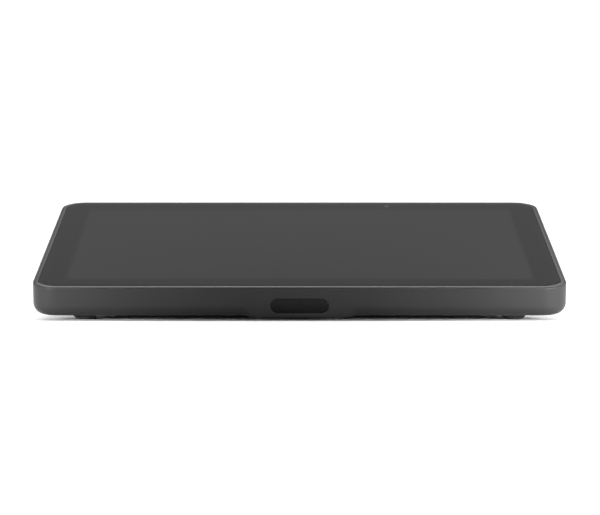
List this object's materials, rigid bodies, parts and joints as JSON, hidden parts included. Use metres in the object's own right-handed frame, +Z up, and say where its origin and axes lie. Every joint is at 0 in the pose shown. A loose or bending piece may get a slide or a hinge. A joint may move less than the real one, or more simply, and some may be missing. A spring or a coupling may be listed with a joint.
{
  "type": "smart display",
  "caption": "Table-top touch display: a tilted glass-topped slab with a pill-shaped sensor window in its front edge, on a wedge base with a cable bay and sliding cover.",
  "frame": {"origin": "centre of the footprint, at the bottom of the feet, on the table", "axes": "+X to the right of a person who faces the screen, +Y from the low front edge towards the raised back, +Z up"},
  "size_m": [0.242, 0.1618, 0.0545],
  "materials": {
    "front_glass": "polished, dark behind",
    "black_ink": "printed, matt",
    "touch_film": "clear film with a fine grid",
    "screen": "dark, switched off",
    "stamped_steel": "stamped sheet",
    "foam": "soft foam",
    "trim_metal": "bright satin, cut edge",
    "graphite_shell": "fine satin metallic graphite",
    "alloy_plate": "pressed plate",
    "screw_steel": "zinc plated",
    "sensor_window": "dark infrared window",
    "board_green": "solder mask",
    "chip_black": "moulded chip",
    "amber_film": "flexible circuit film",
    "connector_nylon": "moulded nylon",
    "thermal_pad": "soft pad",
    "graphite_sheet": "graphite sheet",
    "socket_steel": "plated shell",
    "button_grey": "moulded",
    "lead_grey": "jacketed wire",
    "ballast_steel": "plain painted steel",
    "base_plastic": "fine moulded texture",
    "screw_black": "blackened steel",
    "black_rubber": "soft rubber",
    "foot_rubber": "soft matt rubber",
    "insert_brass": "knurled brass",
    "blank_label": "blank label"
  },
  "bodies": {
    "display": {"cover_glass": "front_glass", "border_mask": "black_ink", "touch_sensor": "touch_film", "screen_panel": "screen", "panel_tray": "stamped_steel", "panel_pads": "foam", "glass_gasket": "foam", "trim_ring": "trim_metal", "display_housing": "graphite_shell", "mid_plate": "alloy_plate", "chassis_screws": "screw_steel", "sensor_lens": "sensor_window", "lens_gasket": "foam", "sensor_board": "board_green", "motion_sensor": "stamped_steel", "sensor_bracket": "stamped_steel", "light_sensor": "board_green", "main_board": "board_green", "shield_can": "stamped_steel", "processor": "chip_black", "memory_chips": "chip_black", "wireless_module": "stamped_steel", "antennas": "amber_film", "board_connectors": "connector_nylon", "thermal_pad": "thermal_pad", "heat_spreader": "graphite_sheet", "board_screws": "screw_steel", "screen_flex": "amber_film", "touch_flex": "amber_film", "sensor_flex": "amber_film", "io_flex": "amber_film", "io_board": "board_green", "usb_socket": "socket_steel", "video_socket": "socket_steel", "power_socket": "chip_black", "reset_switch": "chip_black", "audio_board": "board_green", "audio_jack": "chip_black", "audio_lead": "lead_grey", "io_screws": "screw_steel", "ballast_plate": "ballast_steel", "base_shell": "base_plastic", "base_screws": "screw_black", "cable_grommet": "black_rubber", "cable_anchor": "chip_black", "front_feet": "foot_rubber", "rear_feet": "foot_rubber", "mount_inserts": "insert_brass", "lock_plate": "socket_steel", "id_plate": "blank_label"},
    "cover": {"cable_cover": "base_plastic"},
    "reset_key": {"reset_button": "button_grey"}
  },
  "joints": [
    {"name": "cover_slide", "type": "slide", "parent": "display", "child": "cover", "axis": [0, 1, 0], "range_m": [0, 0.06]},
    {"name": "reset_press", "type": "slide", "parent": "display", "child": "reset_key", "axis": [0, -1, 0], "range_m": [0, 0.0006], "stiffness_N_per_m": 400, "springref_m": -0.0005}
  ]
}
